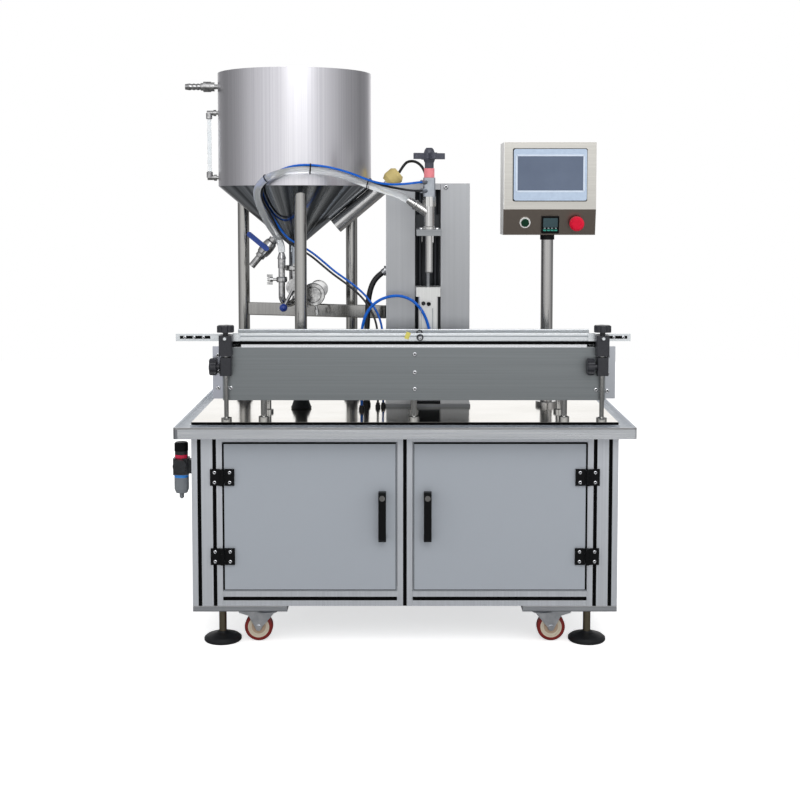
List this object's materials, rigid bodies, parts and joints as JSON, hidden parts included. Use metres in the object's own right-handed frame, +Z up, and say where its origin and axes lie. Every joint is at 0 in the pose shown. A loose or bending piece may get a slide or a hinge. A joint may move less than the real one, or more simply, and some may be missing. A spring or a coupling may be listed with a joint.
{
  "type": "jar filling machine",
  "caption": "Honey and paste filler: heated hopper, metering valve and lifting nozzle over a slat conveyor with guide rails, on a wheeled two-door cabinet with an operator panel.",
  "frame": {"origin": "on the floor under the middle of the cabinet", "axes": "+X along the conveyor to its drive end, +Y to the back, +Z up"},
  "size_m": [1.2323, 0.8, 1.542],
  "materials": {
    "slotted_aluminium": "clear anodised, satin",
    "panel_sheet": "smooth pale grey paint",
    "zinc_steel": "zinc plated",
    "black_foot": "matt black",
    "satin_stainless": "satin brushed stainless steel",
    "polished_stainless": "polished stainless steel",
    "black_plastic": "matt black, lightly grained",
    "door_sheet": "smooth blue-grey paint",
    "clear_plastic": "clear",
    "blue_plastic": "blue dipped sleeve",
    "cast_aluminium": "clear anodised",
    "panel_case": "light grey powder coat",
    "instrument_plastic": "light blue and grey moulded plastic",
    "red_plastic": "glossy red",
    "green_plastic": "glossy green",
    "regulator_body": "grey moulded plastic",
    "red_tread": "dark red tread on a cream hub",
    "clear_hose": "clear food hose",
    "blue_tube": "blue polyurethane",
    "black_rubber": "black, semi-matt"
  },
  "bodies": {
    "machine": {"air_regulator": "regulator_body", "black_nozzle_tube": "black_rubber", "blue_nozzle_tube": "blue_tube", "cabinet_panels": "panel_sheet", "cabinet_profiles": "slotted_aluminium", "column": "satin_stainless", "conveyor_frame": "satin_stainless", "corner_plates": "zinc_steel", "drip_tray": "satin_stainless", "drive_motor": "cast_aluminium", "gauge_tube": "clear_plastic", "heater": "polished_stainless", "heater_lead": "black_rubber", "hinge_leaves": "black_plastic", "hmi_pole": "polished_stainless", "hopper": "satin_stainless", "hopper_fittings": "polished_stainless", "hopper_stand": "polished_stainless", "lift_cylinder": "cast_aluminium", "lift_tube": "blue_tube", "metering_cylinder": "polished_stainless", "pipe_clamps": "polished_stainless", "posts_and_glands": "polished_stainless", "product_hose": "clear_hose", "product_valve": "polished_stainless", "rail_brackets": "black_plastic", "rear_guide_rail": "cast_aluminium", "slat_belt": "polished_stainless", "table_board": "satin_stainless", "valve_conduit": "black_rubber"},
    "feet": {"levelling_feet": "black_foot"},
    "left_door": {"door_left": "door_sheet", "left_door_fittings": "black_plastic"},
    "right_door": {"door_right": "door_sheet", "right_door_fittings": "black_plastic"},
    "left_lock": {"left_lock": "zinc_steel"},
    "right_lock": {"right_lock": "zinc_steel"},
    "nozzle": {"nozzle_carriage": "cast_aluminium", "nozzle_body": "polished_stainless", "nozzle_actuator": "cast_aluminium"},
    "nozzle_knob": {"nozzle_knob": "black_plastic"},
    "panel": {"hmi_box": "panel_case", "hmi_instruments": "instrument_plastic"},
    "start_button": {"start_button": "green_plastic"},
    "stop_button": {"stop_button": "red_plastic"},
    "drive_shaft": {"drive_shaft": "zinc_steel"},
    "idler_shaft": {"idler_shaft": "zinc_steel"},
    "front_rail": {"front_guide_rail": "cast_aluminium"},
    "drain_lever": {"drain_lever": "blue_plastic"},
    "valve_rotor": {"valve_rotor": "polished_stainless"},
    "metering_piston": {"metering_piston": "polished_stainless"},
    "regulator_knob": {"regulator_knob": "black_plastic"},
    "caster_front_left": {"caster_fork_front_left": "zinc_steel"},
    "wheel_front_left": {"caster_wheel_front_left": "red_tread"},
    "caster_front_right": {"caster_fork_front_right": "zinc_steel"},
    "wheel_front_right": {"caster_wheel_front_right": "red_tread"},
    "caster_rear_left": {"caster_fork_rear_left": "zinc_steel"},
    "wheel_rear_left": {"caster_wheel_rear_left": "red_tread"},
    "caster_rear_right": {"caster_fork_rear_right": "zinc_steel"},
    "wheel_rear_right": {"caster_wheel_rear_right": "red_tread"}
  },
  "joints": [
    {"name": "left_door_hinge", "type": "hinge", "parent": "machine", "child": "left_door", "pos_m": [-0.47925, -0.361, 0.35], "axis": [0, 0, 1], "range_deg": [-110, 0]},
    {"name": "right_door_hinge", "type": "hinge", "parent": "machine", "child": "right_door", "pos_m": [0.47925, -0.361, 0.35], "axis": [0, 0, 1], "range_deg": [0, 110]},
    {"name": "left_lock_turn", "type": "hinge", "parent": "left_door", "child": "left_lock", "pos_m": [-0.0595, -0.38, 0.404], "axis": [0, 1, 0], "range_deg": [0, 90]},
    {"name": "right_lock_turn", "type": "hinge", "parent": "right_door", "child": "right_lock", "pos_m": [0.0595, -0.38, 0.404], "axis": [0, 1, 0], "range_deg": [-90, 0]},
    {"name": "feet_levelling", "type": "slide", "parent": "machine", "child": "feet", "axis": [0, 0, 1], "range_m": [-0.03, 0]},
    {"name": "caster_front_left_swivel", "type": "hinge", "parent": "machine", "child": "caster_front_left", "pos_m": [-0.37, -0.297, 0.07], "axis": [0, 0, 1], "continuous": true},
    {"name": "wheel_front_left_roll", "type": "hinge", "parent": "caster_front_left", "child": "wheel_front_left", "pos_m": [-0.392, -0.297, 0.0385], "axis": [0, 1, 0], "continuous": true},
    {"name": "caster_front_right_swivel", "type": "hinge", "parent": "machine", "child": "caster_front_right", "pos_m": [0.37, -0.297, 0.07], "axis": [0, 0, 1], "continuous": true},
    {"name": "wheel_front_right_roll", "type": "hinge", "parent": "caster_front_right", "child": "wheel_front_right", "pos_m": [0.392, -0.297, 0.0385], "axis": [0, 1, 0], "continuous": true},
    {"name": "caster_rear_left_swivel", "type": "hinge", "parent": "machine", "child": "caster_rear_left", "pos_m": [-0.37, 0.297, 0.07], "axis": [0, 0, 1], "continuous": true},
    {"name": "wheel_rear_left_roll", "type": "hinge", "parent": "caster_rear_left", "child": "wheel_rear_left", "pos_m": [-0.392, 0.297, 0.0385], "axis": [0, 1, 0], "continuous": true},
    {"name": "caster_rear_right_swivel", "type": "hinge", "parent": "machine", "child": "caster_rear_right", "pos_m": [0.37, 0.297, 0.07], "axis": [0, 0, 1], "continuous": true},
    {"name": "wheel_rear_right_roll", "type": "hinge", "parent": "caster_rear_right", "child": "wheel_rear_right", "pos_m": [0.392, 0.297, 0.0385], "axis": [0, 1, 0], "continuous": true},
    {"name": "nozzle_lift", "type": "slide", "parent": "machine", "child": "nozzle", "axis": [0, 0, 1], "range_m": [-0.1, 0], "deforming": ["product_hose", "blue_nozzle_tube", "black_nozzle_tube"]},
    {"name": "nozzle_knob_turn", "type": "hinge", "parent": "nozzle", "child": "nozzle_knob", "pos_m": [0.065, -0.245, 1.2649], "axis": [0, 0, 1], "continuous": true},
    {"name": "panel_swivel", "type": "hinge", "parent": "machine", "child": "panel", "pos_m": [0.402, -0.055, 1.084], "axis": [0, 0, 1], "range_deg": [-45, 45]},
    {"name": "start_button_press", "type": "slide", "parent": "panel", "child": "start_button", "axis": [0, 0.9811, 0.1935], "range_m": [0, 0.004], "stiffness_N_per_m": 400, "springref_m": -0.001},
    {"name": "stop_button_press", "type": "slide", "parent": "panel", "child": "stop_button", "axis": [0, 0.9811, 0.1935], "range_m": [0, 0.004], "stiffness_N_per_m": 400, "springref_m": -0.001},
    {"name": "drive_shaft_turn", "type": "hinge", "parent": "machine", "child": "drive_shaft", "pos_m": [0.50025, -0.245, 0.75349], "axis": [0, 1, 0], "continuous": true},
    {"name": "idler_shaft_turn", "type": "hinge", "parent": "machine", "child": "idler_shaft", "pos_m": [-0.45225, -0.245, 0.75349], "axis": [0, 1, 0], "continuous": true},
    {"name": "front_rail_slide", "type": "slide", "parent": "machine", "child": "front_rail", "axis": [0, 1, 0], "range_m": [0, 0.03]},
    {"name": "drain_lever_turn", "type": "hinge", "parent": "machine", "child": "drain_lever", "pos_m": [-0.40008, 0.0427, 1.04278], "axis": [0, 1, 0], "range_deg": [-90, 0]},
    {"name": "valve_rotor_turn", "type": "hinge", "parent": "machine", "child": "valve_rotor", "pos_m": [-0.317, 0.022, 0.93], "axis": [0, 1, 0], "range_deg": [0, 90]},
    {"name": "metering_piston_slide", "type": "slide", "parent": "machine", "child": "metering_piston", "axis": [0, 1, 0], "range_m": [0, 0.09]},
    {"name": "regulator_knob_turn", "type": "hinge", "parent": "machine", "child": "regulator_knob", "pos_m": [-0.59, -0.33, 0.52], "axis": [0, 0, 1], "range_deg": [-180, 180]}
  ],
  "couplings": [
    {"joint": "idler_shaft_turn", "follows": "drive_shaft_turn", "ratio": 1}
  ]
}
